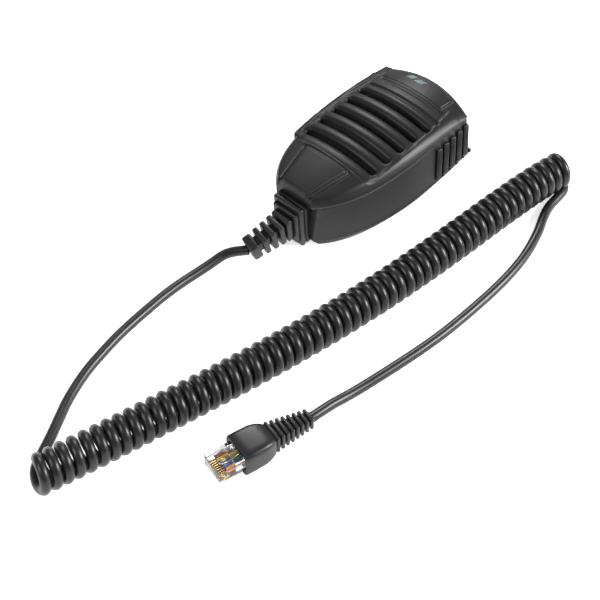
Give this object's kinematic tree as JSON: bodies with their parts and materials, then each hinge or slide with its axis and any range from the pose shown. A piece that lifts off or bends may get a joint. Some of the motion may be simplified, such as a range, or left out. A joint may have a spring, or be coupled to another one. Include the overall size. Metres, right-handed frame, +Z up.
{
  "type": "hand microphone",
  "caption": "Hand-held loudspeaker microphone with a slotted crowned face, side push-to-talk button, ribbed strain relief, curly cord and clear modular plug.",
  "frame": {"origin": "under the middle of the case, on the surface that the microphone lies on", "axes": "+Z up; +Y towards the top edge of the case, -Y towards its cord; +X towards the grip ribs, -X towards the push-to-talk button"},
  "size_m": [0.1234, 0.2863, 0.0366],
  "materials": {
    "shell_plastic": "fine moulded texture, slight sheen",
    "badge_plastic": null,
    "label_foil": "satin",
    "felt": "black felt",
    "foam": "matt foam",
    "steel": "satin",
    "cone_paper": "paper",
    "board_green": "solder mask",
    "chip_black": "matt",
    "white_plastic": "matt",
    "button_plastic": "matt elastomer",
    "relief_rubber": "matt rubber",
    "cord_jacket": "semi-gloss polyurethane",
    "clear_plastic": "clear polycarbonate",
    "gold": "gold flashed",
    "wire_colours": "coloured insulation, one colour for each wire"
  },
  "bodies": {
    "root": {"front_shell": "shell_plastic", "rear_shell": "shell_plastic", "name_badge": "badge_plastic", "rating_plate": "label_foil", "dust_felt": "felt", "speaker_gasket": "foam", "speaker_basket": "steel", "speaker_cone": "cone_paper", "speaker_magnet": "steel", "circuit_board": "board_green", "board_chips": "chip_black", "board_screws": "steel", "ptt_switch": "chip_black", "mic_capsule": "steel", "mic_boot": "relief_rubber", "case_screws": "steel", "hang_button": "steel", "hang_screw": "steel", "strain_relief": "relief_rubber", "cord_clamp": "steel", "clamp_screws": "steel", "board_header": "white_plastic", "lead_wires": "cord_jacket", "cord_lead": "cord_jacket", "cord_coil": "cord_jacket", "cord_tail": "cord_jacket", "plug_hood": "relief_rubber", "plug_boot": "relief_rubber", "plug_body": "clear_plastic", "plug_contacts": "gold", "plug_wires": "wire_colours"},
    "ptt": {"ptt_button": "button_plastic"},
    "plunger": {"switch_plunger": "white_plastic"},
    "latch": {"plug_latch": "clear_plastic"}
  },
  "joints": [
    {"name": "ptt_press", "type": "slide", "parent": "root", "child": "ptt", "axis": [1, 0, 0], "range_m": [0, 0.0015], "stiffness_N_per_m": 900},
    {"name": "plunger_slide", "type": "slide", "parent": "root", "child": "plunger", "axis": [1, 0, 0], "range_m": [0, 0.0013]},
    {"name": "latch_flex", "type": "hinge", "parent": "root", "child": "latch", "pos_m": [0.07295, -0.16711, 0.00965], "axis": [-0.9781, 0.2079, 0], "range_deg": [0, 6], "stiffness_Nm_per_rad": 0.6}
  ],
  "couplings": [
    {"joint": "plunger_slide", "follows": "ptt_press", "ratio": 0.85}
  ]
}
